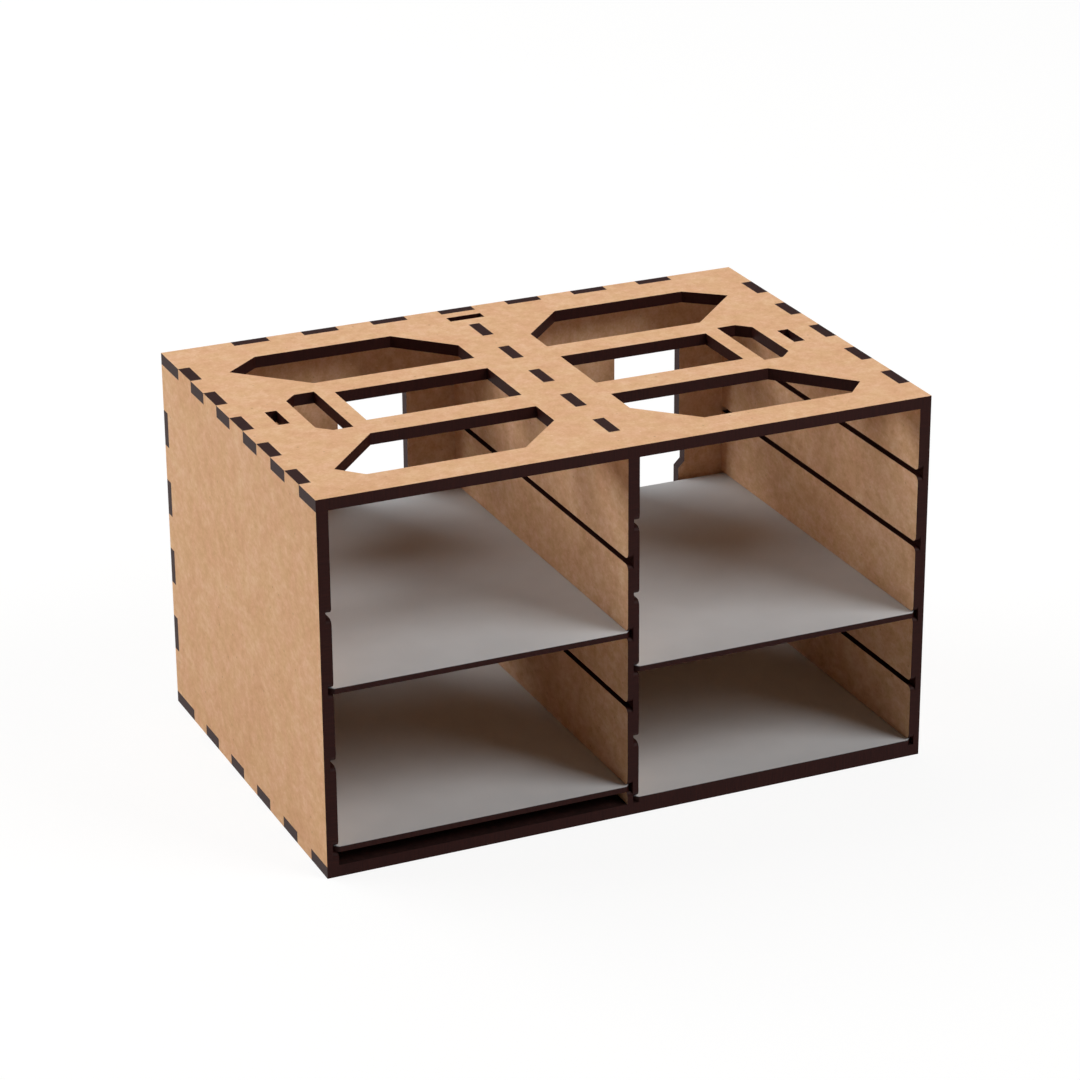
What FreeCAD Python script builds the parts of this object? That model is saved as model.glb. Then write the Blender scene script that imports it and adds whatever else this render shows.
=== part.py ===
import FreeCAD, Part
import os

from FreeCAD import Vector

# Miniature carrying case: an open-fronted case of laser-cut, finger-jointed fibreboard, glued up from
# six boards, with two bays of trays that slide in grooves. Millimetres, +Z up. The open front faces -Y.
# The origin is the middle of the footprint, on the surface that the case stands on.

# Driving dimensions of the case
WIDTH = 320.0
DEPTH = 218.0
HEIGHT = 193.4
BOARD = 6.0

# Finger joints: a finger and the gap beside it are equally wide
FINGER = 18.9
FINGER_PITCH = 2 * FINGER
UPRIGHT_TABS = 5
UPRIGHT_TAB_MIDDLE = 106.5
BACK_TABS = 7
BACK_EDGE_TABS = 4

# Tray grooves, cut half-way through the uprights, with rounded mouths at the front
GROOVE_HEIGHT = 3.1
GROOVE_DEPTH = 2.9
MOUTH_RADIUS = 3.0
TRAY_PITCH = FINGER_PITCH
LOWEST_LEFT_TRAY = 12.9

# Trays: a thin board with a ferrous foil on it, which holds the magnets under the miniatures' bases
TRAY_BOARD = 2.5
TRAY_FACING = 0.4
TRAY_SIDE_PLAY = 0.4
TRAY_BACK_PLAY = 3.0
TRAY_CORNER_CUT = 3.0

# Cut-outs in the top board. Each outline is for the half with +X, as distances from the middle plane and
# from the front face, and the other half mirrors it.
REAR_CUTOUT = ((20.0, 144.1), (20.0, 164.9), (46.0, 192.3), (119.2, 192.3), (138.3, 176.4), (106.0, 144.1))
MIDDLE_CUTOUT = ((20.0, 85.6), (20.0, 127.8), (101.2, 127.8), (101.2, 85.6))
FRONT_CUTOUT = ((46.8, 20.2), (20.0, 47.0), (20.0, 68.4), (106.1, 68.4), (138.3, 32.4), (127.1, 20.2))
GRIP_X = (110.1, 127.1)
GRIP_Y = (79.9, 132.8)
GRIP_CORNER_CUT = 6.6

# Link slots in the top board
SLOT_WIDTH = 6.0
SLOT_FROM_SIDE = 18.0
REAR_SLOT_FRONT = 199.7

# Windows in the back board: one in each bay, at the same place in it. Each start is the window's left edge,
# as a distance from the middle plane.
WINDOW_WIDTH = 38.5
WINDOW_STARTS = (-68.5, 89.5)
WINDOW_HEIGHT = 7 * FINGER
NOTCH_DEPTH = 3.6
NOTCH_HEIGHT = 23.4

# Places that follow from these
LEFT = -WIDTH / 2
RIGHT = WIDTH / 2
FRONT = -DEPTH / 2
BACK = DEPTH / 2
BACK_INNER = BACK - BOARD
TOP_INNER = HEIGHT - BOARD
MIDDLE_HEIGHT = HEIGHT / 2

LEFT_SIDE = (LEFT, LEFT + BOARD)
DIVIDER = (-BOARD / 2, BOARD / 2)
RIGHT_SIDE = (RIGHT - BOARD, RIGHT)
UPRIGHTS = (LEFT_SIDE, DIVIDER, RIGHT_SIDE)
BACK_Y = (BACK_INNER, BACK)
BOTTOM_Z = (0, BOARD)
TOP_Z = (TOP_INNER, HEIGHT)

# Heights of the groove floors. The two bays are half a pitch apart, so that the grooves in the two faces of
# the divider never meet. The lowest tray on the left stands clear of the bottom board, and the lowest on
# the right lies on it.
MIDDLE_FLOOR = MIDDLE_HEIGHT - GROOVE_HEIGHT / 2
LEFT_FLOORS = [LOWEST_LEFT_TRAY] + [MIDDLE_FLOOR + step * TRAY_PITCH for step in (-1, 0, 1)]
RIGHT_FLOORS = [BOARD] + [MIDDLE_FLOOR + step * TRAY_PITCH for step in (-1.5, -0.5, 0.5, 1.5)]

# Which grooves hold a tray: the two inner faces of its bay and the height of the groove floor
TRAYS = {
    "left_upper_tray": (LEFT_SIDE[1], DIVIDER[0], LEFT_FLOORS[2]),
    "left_lower_tray": (LEFT_SIDE[1], DIVIDER[0], LEFT_FLOORS[0]),
    "right_upper_tray": (DIVIDER[1], RIGHT_SIDE[0], RIGHT_FLOORS[2]),
    "right_lower_tray": (DIVIDER[1], RIGHT_SIDE[0], RIGHT_FLOORS[0]),
}


def block(x, y, z):
    """A box between three pairs of coordinates."""
    size = (x[1] - x[0], y[1] - y[0], z[1] - z[0])
    return Part.makeBox(*size, Vector(x[0], y[0], z[0]))


def prism(points, direction):
    """A flat outline of straight edges, extruded along a vector."""
    loop = [Vector(*point) for point in points]
    return Part.Face(Part.makePolygon(loop + loop[:1])).extrude(direction)


def finger_spans(count, middle):
    """Evenly spaced fingers about a middle coordinate, each as its two ends."""
    first = middle - (count - 1) / 2 * FINGER_PITCH
    centres = [first + index * FINGER_PITCH for index in range(count)]
    return [(centre - FINGER / 2, centre + FINGER / 2) for centre in centres]


def with_mirror_image(shape):
    """A shape and its mirror image in the middle plane."""
    return [shape, shape.mirror(Vector(0, 0, 0), Vector(1, 0, 0))]


UPRIGHT_FINGERS = finger_spans(UPRIGHT_TABS, FRONT + UPRIGHT_TAB_MIDDLE)
BACK_FINGERS = finger_spans(BACK_TABS, 0)
BACK_EDGE_FINGERS = finger_spans(BACK_EDGE_TABS, MIDDLE_HEIGHT)
DIVIDER_REAR_FINGERS = finger_spans(BACK_EDGE_TABS - 1, MIDDLE_HEIGHT)


def tab_holes(level):
    """The room that the top or the bottom board leaves for the tabs of the other boards."""
    holes = [block(x, y, level) for x in UPRIGHTS for y in UPRIGHT_FINGERS]
    return holes + [block(x, BACK_Y, level) for x in BACK_FINGERS]


def top_outline_cut(outline):
    """A cut-out of the top board, and its mirror image."""
    points = [(x, FRONT + y, TOP_INNER) for x, y in outline]
    return with_mirror_image(prism(points, Vector(0, 0, BOARD)))


def grip_outline():
    """The hand hole beside the middle cut-out: a rectangle with its two outer corners cut."""
    inner, outer = GRIP_X
    front, rear = GRIP_Y
    cut = GRIP_CORNER_CUT
    outer_corners = ((outer - cut, front), (outer, front + cut), (outer, rear - cut), (outer - cut, rear))
    return ((inner, front),) + outer_corners + ((inner, rear),)


def link_slots():
    """Three slots for the tabs of another board: beside each side, and in front of the back."""
    side_x = (RIGHT - SLOT_FROM_SIDE - SLOT_WIDTH, RIGHT - SLOT_FROM_SIDE)
    side_slots = with_mirror_image(block(side_x, UPRIGHT_FINGERS[UPRIGHT_TABS // 2], TOP_Z))
    rear_y = (FRONT + REAR_SLOT_FRONT, FRONT + REAR_SLOT_FRONT + SLOT_WIDTH)
    return side_slots + [block(BACK_FINGERS[BACK_TABS // 2], rear_y, TOP_Z)]


def top_panel():
    cuts = tab_holes(TOP_Z) + link_slots()
    for outline in (REAR_CUTOUT, MIDDLE_CUTOUT, FRONT_CUTOUT, grip_outline()):
        cuts += top_outline_cut(outline)
    return block((LEFT, RIGHT), (FRONT, BACK), TOP_Z).cut(cuts)


def bottom_panel():
    return block((LEFT, RIGHT), (FRONT, BACK), BOTTOM_Z).cut(tab_holes(BOTTOM_Z))


def quarter_arc(start, end, centre):
    """A quarter of a circle from start to end."""
    outwards = start - centre + end - centre
    middle = centre + outwards / outwards.Length * MOUTH_RADIUS
    return Part.Arc(start, middle, end).toShape()


def groove(face, into_board, floor):
    """One groove from the front to the back board, cut into a face of an upright, with rounded lips."""
    ceiling = floor + GROOVE_HEIGHT
    radius = MOUTH_RADIUS
    low_lip = floor > BOARD
    back_low = Vector(face, BACK_INNER, floor)
    back_high = Vector(face, BACK_INNER, ceiling)
    inner_high = Vector(face, FRONT + radius, ceiling)
    front_high = Vector(face, FRONT, ceiling + radius)
    inner_low = Vector(face, FRONT + radius, floor)
    front_low = Vector(face, FRONT, floor - radius if low_lip else floor)
    if low_lip:
        lip = quarter_arc(front_low, inner_low, Vector(face, FRONT + radius, floor - radius))
    else:
        lip = Part.makeLine(front_low, inner_low)
    edges = [
        lip,
        Part.makeLine(inner_low, back_low),
        Part.makeLine(back_low, back_high),
        Part.makeLine(back_high, inner_high),
        quarter_arc(inner_high, front_high, Vector(face, FRONT + radius, ceiling + radius)),
        Part.makeLine(front_high, front_low),
    ]
    return Part.Face(Part.Wire(edges)).extrude(Vector(into_board * GROOVE_DEPTH, 0, 0))


def upright(x, rear, cuts):
    """A standing board between the top and the bottom board, with its tabs through both."""
    board = block(x, (FRONT, rear), (BOARD, TOP_INNER))
    board = board.fuse([block(x, y, (0, HEIGHT)) for y in UPRIGHT_FINGERS])
    return board.cut(cuts)


def side_panel(x, inner_face, into_board, floors):
    """A side of the case: grooves in its inner face, and gaps in its rear edge for the back board."""
    grooves = [groove(inner_face, into_board, floor) for floor in floors]
    gaps = [block(x, BACK_Y, z) for z in BACK_EDGE_FINGERS]
    return upright(x, BACK, grooves + gaps)


def centre_divider():
    grooves = [groove(DIVIDER[0], 1, floor) for floor in LEFT_FLOORS]
    grooves += [groove(DIVIDER[1], -1, floor) for floor in RIGHT_FLOORS]
    board = upright(DIVIDER, BACK_INNER, grooves)
    return board.fuse([block(DIVIDER, BACK_Y, z) for z in DIVIDER_REAR_FINGERS])


def window(start):
    """A tall window in the back board, with a notch half-way up each of its sides."""
    far = start + WINDOW_WIDTH
    low = MIDDLE_HEIGHT - WINDOW_HEIGHT / 2
    high = MIDDLE_HEIGHT + WINDOW_HEIGHT / 2
    notch_low = MIDDLE_HEIGHT - NOTCH_HEIGHT / 2
    notch_high = MIDDLE_HEIGHT + NOTCH_HEIGHT / 2
    side = ((0, low), (0, notch_low), (NOTCH_DEPTH, notch_low + NOTCH_DEPTH))
    side += ((NOTCH_DEPTH, notch_high - NOTCH_DEPTH), (0, notch_high), (0, high))
    outline = [(far + out, BACK_INNER, z) for out, z in side]
    outline += [(start - out, BACK_INNER, z) for out, z in reversed(side)]
    return prism(outline, Vector(0, BOARD, 0))


def back_panel():
    panel = block((LEFT_SIDE[1], RIGHT_SIDE[0]), BACK_Y, (BOARD, TOP_INNER))
    panel = panel.fuse([block(x, BACK_Y, (0, HEIGHT)) for x in BACK_FINGERS])
    panel = panel.fuse([block((LEFT, RIGHT), BACK_Y, z) for z in BACK_EDGE_FINGERS])
    cuts = [block(DIVIDER, BACK_Y, z) for z in DIVIDER_REAR_FINGERS]
    cuts += [window(start) for start in WINDOW_STARTS]
    return panel.cut(cuts)


def tray_layer(left_face, right_face, low, high):
    """A layer of a tray, reaching into the grooves on both sides, with its four corners cut."""
    reach = GROOVE_DEPTH - TRAY_SIDE_PLAY
    x = (left_face - reach, right_face + reach)
    y = (FRONT, BACK_INNER - TRAY_BACK_PLAY)
    cut = TRAY_CORNER_CUT
    front_edge = ((x[0], y[0] + cut), (x[0] + cut, y[0]), (x[1] - cut, y[0]), (x[1], y[0] + cut))
    rear_edge = ((x[1], y[1] - cut), (x[1] - cut, y[1]), (x[0] + cut, y[1]), (x[0], y[1] - cut))
    return prism([(px, py, low) for px, py in front_edge + rear_edge], Vector(0, 0, high - low))


def pieces():
    """Every piece of the case by name."""
    made = {
        "top_panel": top_panel(),
        "bottom_panel": bottom_panel(),
        "left_side_panel": side_panel(LEFT_SIDE, LEFT_SIDE[1], -1, LEFT_FLOORS),
        "right_side_panel": side_panel(RIGHT_SIDE, RIGHT_SIDE[0], 1, RIGHT_FLOORS),
        "centre_divider": centre_divider(),
        "back_panel": back_panel(),
    }
    for name, (left_face, right_face, floor) in TRAYS.items():
        join = floor + TRAY_BOARD
        made[name + "_board"] = tray_layer(left_face, right_face, floor, join)
        made[name + "_facing"] = tray_layer(left_face, right_face, join, join + TRAY_FACING)
    return made


os.makedirs("parts", exist_ok=True)
for name, shape in pieces().items():
    solid = shape.removeSplitter()
    extent = solid.BoundBox
    spread = [round(length, 2) for length in (extent.XLength, extent.YLength, extent.ZLength)]
    print(name, "solids", len(solid.Solids), "valid", solid.isValid(), "size", spread)
    solid.exportStep(os.path.join("parts", name + ".step"))
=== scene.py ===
import math

import bmesh
import bpy
from mathutils import Matrix, Vector


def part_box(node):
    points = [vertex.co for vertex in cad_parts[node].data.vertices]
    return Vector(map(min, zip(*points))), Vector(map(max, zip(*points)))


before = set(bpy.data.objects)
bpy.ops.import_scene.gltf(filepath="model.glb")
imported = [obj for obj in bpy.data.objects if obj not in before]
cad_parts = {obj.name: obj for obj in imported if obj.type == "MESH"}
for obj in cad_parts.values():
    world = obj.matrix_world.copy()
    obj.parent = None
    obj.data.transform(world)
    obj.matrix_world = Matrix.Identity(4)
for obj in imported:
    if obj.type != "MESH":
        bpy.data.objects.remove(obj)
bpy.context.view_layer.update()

# The camera stands 1.8 m away, to the left of the case and above it, with a long lens, as the photograph was
# taken. It looks at the middle of the case and is rolled by a fraction of a degree.
CAMERA_PLACE = Vector((-0.687, -1.545, 0.812))
CAMERA_AIM = Vector((0.001, 0.003, 0.103))
CAMERA_ROLL = math.radians(-0.4)
LENS_MM = 121.2
SENSOR_MM = 36.0

camera_data = bpy.data.cameras.new("camera")
camera_data.sensor_width = SENSOR_MM
camera_data.lens = LENS_MM
camera = bpy.data.objects.new("camera", camera_data)
turn = (CAMERA_AIM - CAMERA_PLACE).to_track_quat("-Z", "Y").to_matrix().to_4x4()
camera.matrix_world = Matrix.Translation(CAMERA_PLACE) @ turn @ Matrix.Rotation(CAMERA_ROLL, 4, "Z")
bpy.context.scene.collection.objects.link(camera)
bpy.context.scene.camera = camera
bpy.context.scene.view_settings.view_transform = "Standard"

# Three soft boxes light the case from 3 m away: a key from the front right, a second from behind on the left
# and a weak one high behind. The studio's walls are plain white, but its ceiling is dim, so that the dark
# edges that face up don't turn grey.
LAMP_DISTANCE = 3.0
LAMP_AIM = Vector((0.0, 0.0, 0.1))
FILL_STRENGTH = 0.05
# How steeply a direction rises, as a sine: where the walls end, and where the ceiling starts.
WALL_TOP_RISE = 0.17
CEILING_RISE = 0.21
CEILING_GREY = 0.03
WHITE = (1.0, 1.0, 1.0, 1.0)
X, Y, Z = 0, 1, 2


def soft_box(name, azimuth, elevation, width, height, radiance):
    """A rectangular lamp in metres. Its azimuth goes from the case's front towards its right, in degrees."""
    turn, rise = math.radians(azimuth), math.radians(elevation)
    towards = Vector((math.sin(turn) * math.cos(rise), -math.cos(turn) * math.cos(rise), math.sin(rise)))
    lamp_data = bpy.data.lights.new(name, "AREA")
    lamp_data.shape = "RECTANGLE"
    lamp_data.size = width
    lamp_data.size_y = height
    lamp_data.energy = radiance * math.pi * width * height
    lamp = bpy.data.objects.new(name, lamp_data)
    lamp.location = LAMP_AIM + towards * LAMP_DISTANCE
    lamp.rotation_euler = (-towards).to_track_quat("-Z", "Y").to_euler()
    lamp.visible_camera = False
    bpy.context.scene.collection.objects.link(lamp)


soft_box("key_lamp", azimuth=45, elevation=40, width=1.6, height=1.6, radiance=7.0)
soft_box("second_lamp", azimuth=228, elevation=34, width=2.5, height=1.6, radiance=6.1)
soft_box("high_lamp", azimuth=165, elevation=50, width=2.8, height=1.1, radiance=1.8)


def add_node(tree, kind, inputs=None, **settings):
    """A shader node with its settings. An input takes a value, or a socket to link from."""
    made = tree.nodes.new(kind)
    for name, value in settings.items():
        setattr(made, name, value)
    for key, value in (inputs or {}).items():
        if isinstance(value, bpy.types.NodeSocket):
            tree.links.new(value, made.inputs[key])
        else:
            made.inputs[key].default_value = value
    return made


def math_node(tree, operation, *values):
    """The output of a math node on sockets or plain numbers."""
    return add_node(tree, "ShaderNodeMath", dict(enumerate(values)), operation=operation).outputs[0]


def seen_or_mirrored(tree):
    """One for a ray from the camera or in a reflection, and zero for light that falls on the case."""
    path = add_node(tree, "ShaderNodeLightPath")
    mirrored = math_node(tree, "MAXIMUM", path.outputs["Is Glossy Ray"], path.outputs["Is Transmission Ray"])
    return math_node(tree, "MAXIMUM", path.outputs["Is Camera Ray"], mirrored)


world = bpy.data.worlds.new("daylight")
world.use_nodes = True
sky_tree = world.node_tree
sky_tree.nodes.clear()
direction = add_node(sky_tree, "ShaderNodeTexCoord").outputs["Generated"]
direction_rise = add_node(sky_tree, "ShaderNodeSeparateXYZ", {0: direction}).outputs[Z]
studio = add_node(sky_tree, "ShaderNodeMapRange", {0: direction_rise, 1: WALL_TOP_RISE, 2: CEILING_RISE,
                                                   3: 1.0, 4: CEILING_GREY})
strength = add_node(sky_tree, "ShaderNodeMapRange", {0: seen_or_mirrored(sky_tree), 3: FILL_STRENGTH,
                                                     4: studio.outputs[0]})
sky = add_node(sky_tree, "ShaderNodeBackground", {"Color": WHITE, "Strength": strength.outputs[0]})
add_node(sky_tree, "ShaderNodeOutputWorld", {"Surface": sky.outputs[0]})
bpy.context.scene.world = world

# The floor is a wide sheet of matt, pale paper that lies loose under the case. Most of what is seen of it is
# plain white, and the rest is its real shading, so the shadow under the case stays as a faint grey.
FLOOR_HALF = 6.0
FLOOR_PAPER = "d6d5d3"
FLOOR_WHITE_SHARE = 0.8
FLOOR_GLOW = 1.1


def linear(hex_colour):
    """An sRGB hex colour as a linear RGBA value."""
    parts = [int(hex_colour[i:i + 2], 16) / 255 for i in (0, 2, 4)]
    return tuple(p / 12.92 if p <= 0.04045 else ((p + 0.055) / 1.055) ** 2.4 for p in parts) + (1.0,)


def empty_material(name):
    """A material with an empty node tree, and that tree."""
    made = bpy.data.materials.new(name)
    made.use_nodes = True
    made.node_tree.nodes.clear()
    return made, made.node_tree


# Matt paper: no sheen at all, and a touch of white light of its own wherever it is looked at or mirrored.
floor_paper, paper_tree = empty_material("floor_paper")
share = math_node(paper_tree, "MULTIPLY", seen_or_mirrored(paper_tree), FLOOR_WHITE_SHARE)
matt = add_node(paper_tree, "ShaderNodeBsdfDiffuse", {"Color": linear(FLOOR_PAPER)})
glow = add_node(paper_tree, "ShaderNodeEmission", {"Color": WHITE, "Strength": FLOOR_GLOW})
paper_mix = add_node(paper_tree, "ShaderNodeMixShader", {0: share, 1: matt.outputs[0], 2: glow.outputs[0]})
add_node(paper_tree, "ShaderNodeOutputMaterial", {"Surface": paper_mix.outputs[0]})

floor_sheet = bmesh.new()
bmesh.ops.create_grid(floor_sheet, x_segments=1, y_segments=1, size=FLOOR_HALF)
floor_mesh = bpy.data.meshes.new("floor")
floor_sheet.to_mesh(floor_mesh)
floor_sheet.free()
floor_mesh.materials.append(floor_paper)
floor = bpy.data.objects.new("floor", floor_mesh)
bpy.context.scene.collection.objects.link(floor)

# Top board: 6 mm medium-density fibreboard, cut by a laser with six cut-outs, two hand holes and three
# slots, and glued over the tabs of the four boards below it. Its faces are bare and tan, and the laser has
# burnt every cut edge to a brown black.
MDF_TAN = "dfb288"
MDF_PALE = "e8c099"
MDF_DEEP = "d5a67b"
TAN_TONES = (MDF_DEEP, MDF_TAN, MDF_PALE)
TAN_DOTS = ("8f6844", "f2d6b4")
MDF_ROSY = "fffaff"
CHAR_PALE = "321410"
CHAR_DEEP = "270e0c"
# The sizes of the board's patterns. Single fibres and the laser's lines are finer than a pixel, so those two
# are drawn coarser than they are.
CLOUD_M = 0.024
ROSY_M = 0.013
MOTTLE_M = 0.0042
FIBRE_M = 0.0012
CHAR_LINE_M = 0.0006
# How much the clouds, the mottle and the fibres each add to the tone, and the tones where the colours sit.
TONE_SHARES = (0.28, 0.45, 0.27)
TONE_STOPS = (0.36, 0.5, 0.64)
# The spacing of the dots, and a dot's full core and soft edge as shares of that spacing.
SPECK_M = 0.0095
FLECK_M = 0.008
DOT_CORE = 0.03
DOT_EDGE = 0.08
DOT_STRENGTH = 0.45
EVEN_GRAIN = (1.0, 1.0, 0.9)
CHAR_LINE_STRETCH = 0.06
RELIEF_M = 0.00006
LASER_SKIN_M = 0.0002
FACE_ROUGHNESS = 0.85
CHAR_ROUGHNESS = 0.5
BARE_SPECULAR = 0.1


def noise(tree, place, size, stretch=(1.0, 1.0, 1.0), detail=3.0):
    """Noise of a real size in metres, made longer along an axis by a stretch below one."""
    scale = [part / size for part in stretch]
    scaled = add_node(tree, "ShaderNodeMapping", {"Vector": place, "Scale": scale}).outputs[0]
    return add_node(tree, "ShaderNodeTexNoise", {"Vector": scaled, "Scale": 1.0, "Detail": detail,
                                                 "Roughness": 0.6}).outputs[0]


def blend(tree, share, first, second, blend_type="MIX"):
    """The first colour, replaced by the second, or multiplied by it, in the share given."""
    return add_node(tree, "ShaderNodeMix", {0: share, 6: first, 7: second}, data_type="RGBA",
                    blend_type=blend_type).outputs[2]


def ramp(tree, factor, stops):
    """Colours along a factor, as pairs of a position and a hex colour."""
    made = add_node(tree, "ShaderNodeValToRGB", {0: factor})
    elements = made.color_ramp.elements
    while len(elements) < len(stops):
        elements.new(1.0)
    for element, (position, colour) in zip(elements, stops):
        element.position = position
        element.color = linear(colour)
    return made.outputs[0]


def dress(node, made, surface):
    """Ends a material with its surface, and lays it on a node."""
    add_node(made.node_tree, "ShaderNodeOutputMaterial", {"Surface": surface.outputs[0]})
    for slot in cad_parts[node].material_slots:
        slot.material = made


def on_faces(tree, node, axis):
    """One on a board's two broad faces, and zero on every surface that was cut."""
    low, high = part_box(node)
    middle, half = (low[axis] + high[axis]) / 2, (high[axis] - low[axis]) / 2
    coord = add_node(tree, "ShaderNodeTexCoord")
    place = add_node(tree, "ShaderNodeSeparateXYZ", {0: coord.outputs["Object"]}).outputs[axis]
    facing = add_node(tree, "ShaderNodeSeparateXYZ", {0: coord.outputs["Normal"]}).outputs[axis]
    across = math_node(tree, "GREATER_THAN", math_node(tree, "ABSOLUTE", facing), 0.9)
    from_middle = math_node(tree, "ABSOLUTE", math_node(tree, "SUBTRACT", place, middle))
    outside = math_node(tree, "GREATER_THAN", from_middle, half - LASER_SKIN_M)
    return math_node(tree, "MULTIPLY", across, outside)


def board_face(tree, place, tones, dots, grain):
    """The colour of bare fibreboard: a soft mottle and finer grain, with dark specks and pale flecks."""
    layers = (noise(tree, place, CLOUD_M, detail=2.0), noise(tree, place, MOTTLE_M, grain),
              noise(tree, place, FIBRE_M, grain, detail=2.0))
    tone = 0.0
    for layer, share in zip(layers, TONE_SHARES):
        tone = math_node(tree, "MULTIPLY_ADD", layer, share, tone)
    colour = ramp(tree, tone, tuple(zip(TONE_STOPS, tones)))
    rosy = noise(tree, place, ROSY_M, detail=1.0)
    rosy_share = add_node(tree, "ShaderNodeMapRange", {0: rosy, 1: 0.35, 2: 0.65}).outputs[0]
    colour = blend(tree, rosy_share, colour, linear(MDF_ROSY), "MULTIPLY")
    for spacing, tint in zip((SPECK_M, FLECK_M), dots):
        cells = add_node(tree, "ShaderNodeTexVoronoi", {"Vector": place, "Scale": 1 / spacing})
        dot = add_node(tree, "ShaderNodeMapRange", {0: cells.outputs["Distance"], 1: DOT_CORE, 2: DOT_EDGE,
                                                    3: DOT_STRENGTH, 4: 0.0}).outputs[0]
        colour = blend(tree, dot, colour, linear(tint))
    return colour


# Bare fibreboard is matt and tan, and scatters light so evenly that it hardly shines. Its cut edges are
# charred: dark, ribbed across by the beam, and a little smoother, so they take a weak sheen at a low angle.
def cut_board(name, node, axis, tones=TAN_TONES, dots=TAN_DOTS, grain=EVEN_GRAIN):
    """Laser-cut fibreboard on a node: the board's own face across one axis, char on everything else."""
    made, tree = empty_material(name)
    place = add_node(tree, "ShaderNodeTexCoord").outputs["Object"]
    face = on_faces(tree, node, axis)
    skin = board_face(tree, place, tones, dots, grain)
    across = [CHAR_LINE_STRETCH if index == axis else 1.0 for index in (X, Y, Z)]
    lines = noise(tree, place, CHAR_LINE_M, across)
    char = ramp(tree, lines, ((0.3, CHAR_DEEP), (0.7, CHAR_PALE)))
    rough = add_node(tree, "ShaderNodeMapRange", {0: face, 3: CHAR_ROUGHNESS, 4: FACE_ROUGHNESS}).outputs[0]
    fuzz = noise(tree, place, FIBRE_M, grain, detail=2.0)
    height = add_node(tree, "ShaderNodeMix", {0: face, 2: lines, 3: fuzz}).outputs[0]
    relief = add_node(tree, "ShaderNodeBump", {"Strength": 1.0, "Distance": RELIEF_M, "Height": height})
    surface = add_node(tree, "ShaderNodeBsdfPrincipled", {"Base Color": blend(tree, face, char, skin),
                                                          "Roughness": rough,
                                                          "Specular IOR Level": BARE_SPECULAR,
                                                          "Normal": relief.outputs[0]})
    dress(node, made, surface)


cut_board("top_board_mdf", "top_panel", Z)

# Bottom board: cut from the same stock to the same outline, and glued under the tabs of the boards above it.
# Unlike the others, its face is painted as dark as the cut edges, with the same mottle and dots in dark
# browns: painted shade for the gaps under the lower trays.
# Painted shade: these dark browns on the bottom board stand in for the shade in the gaps under the trays.
GAP_SHADE_TONES = ("1c0f0d", "261412", "301b18")
GAP_SHADE_DOTS = ("180c0b", "38211d")

cut_board("bottom_board_painted_shade", "bottom_panel", Z, GAP_SHADE_TONES, GAP_SHADE_DOTS)

# Two side boards: fibreboard on edge, with glued tabs up and down, and tray grooves cut in the inner face.
# Their fibres lie mostly from front to back. The right one is given darker tones with a wider spread than
# the left: painted shade for the dim inside of the case.
LENGTHWISE = (1.0, 0.6, 0.9)
# Painted shade: a darker tan with a wider spread, for the boards that stand in the dim inside of the case.
INTERIOR_SHADE_TONES = ("c89d75", "d8af88", "e5c29f")

cut_board("left_side_mdf", "left_side_panel", X, grain=LENGTHWISE)
cut_board("right_side_mdf", "right_side_panel", X, INTERIOR_SHADE_TONES, grain=LENGTHWISE)

# Centre board: fibreboard that parts the two bays, with tabs glued into the top, bottom and back boards.
# Both of its faces are grooved for trays, at half-pitch steps from each other, so no two grooves meet.
# Like the right board, it takes the darker, wider-spread tones of painted shade for the case's dim inside.
cut_board("centre_board_mdf", "centre_divider", X, INTERIOR_SHADE_TONES, grain=LENGTHWISE)

# Back board: fibreboard that closes the case behind, with a window cut out for each bay. Its finger joints
# tie the side boards and the centre board together.
# It also takes the darker, wider-spread tones of painted shade for the case's dim inside.
cut_board("back_board_mdf", "back_panel", Y, INTERIOR_SHADE_TONES)

# Four trays: each is a thin fibreboard that slides in a pair of grooves, with a ferrous foil glued on top.
# The foil is a flexible sheet filled with iron powder, which holds magnets, and is printed grey on its face.
FOIL_GREY = "c5c7c9"
FOIL_PALE = "c8cacc"
FOIL_CORE = "2c201f"
FOIL_CLOUD_M = 0.02
FOIL_SPECULAR = 0.35
TRAYS = ("left_upper_tray", "left_lower_tray", "right_upper_tray", "right_lower_tray")


# A printed foil is even and pale, with a soft satin sheen that hardly varies. Its cut rim shows the dark,
# rubbery core.
def foil(name, node):
    """Ferrous foil on a node: the printed grey on its broad faces, and the core on its rim."""
    made, tree = empty_material(name)
    place = add_node(tree, "ShaderNodeTexCoord").outputs["Object"]
    cloud = noise(tree, place, FOIL_CLOUD_M, detail=1.0)
    print_grey = ramp(tree, cloud, ((0.35, FOIL_GREY), (0.65, FOIL_PALE)))
    colour = blend(tree, on_faces(tree, node, Z), linear(FOIL_CORE), print_grey)
    satin = add_node(tree, "ShaderNodeMapRange", {0: cloud, 1: 0.35, 2: 0.65, 3: 0.59, 4: 0.61}).outputs[0]
    surface = add_node(tree, "ShaderNodeBsdfPrincipled", {"Base Color": colour, "Roughness": satin,
                                                          "Specular IOR Level": FOIL_SPECULAR})
    dress(node, made, surface)


for tray in TRAYS:
    cut_board(tray + "_mdf", tray + "_board", Z)
    foil(tray + "_foil", tray + "_facing")
